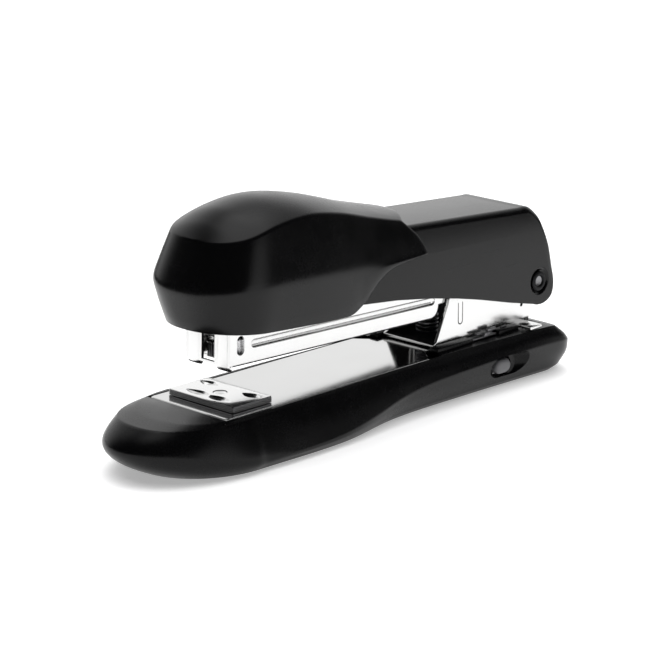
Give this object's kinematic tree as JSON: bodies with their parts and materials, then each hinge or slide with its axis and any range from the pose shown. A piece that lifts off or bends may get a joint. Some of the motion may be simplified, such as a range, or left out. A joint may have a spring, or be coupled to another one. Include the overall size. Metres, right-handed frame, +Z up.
{
  "type": "desk stapler",
  "caption": "Desk stapler with a black moulded base and grip, a tilting steel magazine, a turning anvil and side release buttons.",
  "frame": {"origin": "centre of the bounding box at the base's underside, where the stapler stands on a desk", "axes": "+X to the rear pin, -X to the nose where the staple comes out, +Z up, +Y to the stapler's right side seen from the rear"},
  "size_m": [0.1463, 0.0372, 0.0606],
  "materials": {
    "base_plastic": "satin moulded black plastic",
    "hood_plastic": "satin moulded black plastic, fine texture",
    "handle_paint": "satin black enamel on steel",
    "bright_steel": "polished nickel plated steel",
    "anvil_steel": "polished steel with darker cut edges",
    "spring_steel": "spring steel",
    "staple_wire": "galvanised wire",
    "pusher_plastic": "black plastic",
    "button_plastic": "grey plastic",
    "pad_rubber": "matt rubber"
  },
  "bodies": {
    "base": {"base_housing": "base_plastic", "base_plate": "bright_steel", "anvil_spring": "spring_steel", "bracket": "bright_steel", "base_screw_front": "spring_steel", "base_screw_rear": "spring_steel", "deck_cover": "base_plastic", "latch_clip_left": "spring_steel", "latch_clip_right": "spring_steel", "front_pad": "pad_rubber", "rear_pad": "pad_rubber", "button_spring_left": "spring_steel", "button_spring_right": "spring_steel", "lift_spring": "spring_steel", "main_pin": "bright_steel", "pivot_washer_left": "bright_steel", "pivot_washer_right": "bright_steel"},
    "anvil_turntable": {"anvil": "anvil_steel", "anvil_rivet": "anvil_steel"},
    "magazine": {"magazine_channel": "bright_steel", "staple_rail": "bright_steel", "staple_strip": "staple_wire", "follower_rod": "spring_steel", "pusher_spring": "spring_steel", "return_spring": "spring_steel", "spring_bridge": "spring_steel"},
    "pusher_slider": {"pusher": "pusher_plastic"},
    "handle": {"handle_arm": "handle_paint", "hood": "hood_plastic", "driver_blade": "spring_steel", "blade_rivet_left": "spring_steel", "blade_rivet_right": "spring_steel"},
    "button_left": {"release_button_left": "button_plastic"},
    "button_right": {"release_button_right": "button_plastic"}
  },
  "joints": [
    {"name": "magazine_hinge", "type": "hinge", "parent": "base", "child": "magazine", "pos_m": [0.06195, 0, 0.0243], "axis": [0, 1, 0], "range_deg": [-3.1, 45], "stiffness_Nm_per_rad": 0.35, "springref_deg": 17.19, "deforming": ["lift_spring"]},
    {"name": "handle_hinge", "type": "hinge", "parent": "magazine", "child": "handle", "pos_m": [0.06195, 0, 0.0243], "axis": [0, 1, 0], "range_deg": [-4.4, 90], "stiffness_Nm_per_rad": 0.25, "springref_deg": 14.9, "deforming": ["return_spring"]},
    {"name": "pusher_slide", "type": "slide", "parent": "magazine", "child": "pusher_slider", "axis": [0.9995, 0, -0.0319], "range_m": [0, 0.022], "deforming": ["pusher_spring"]},
    {"name": "anvil_turn", "type": "hinge", "parent": "base", "child": "anvil_turntable", "pos_m": [-0.04065, 0, 0.0133], "axis": [0, 0, 1], "range_deg": [0, 180]},
    {"name": "button_left_press", "type": "slide", "parent": "base", "child": "button_left", "axis": [0, 1, 0], "range_m": [0, 0.0012], "stiffness_N_per_m": 400, "springref_m": -0.001, "deforming": ["button_spring_left"]},
    {"name": "button_right_press", "type": "slide", "parent": "base", "child": "button_right", "axis": [0, -1, 0], "range_m": [0, 0.0012], "stiffness_N_per_m": 400, "springref_m": -0.001, "deforming": ["button_spring_right"]}
  ]
}
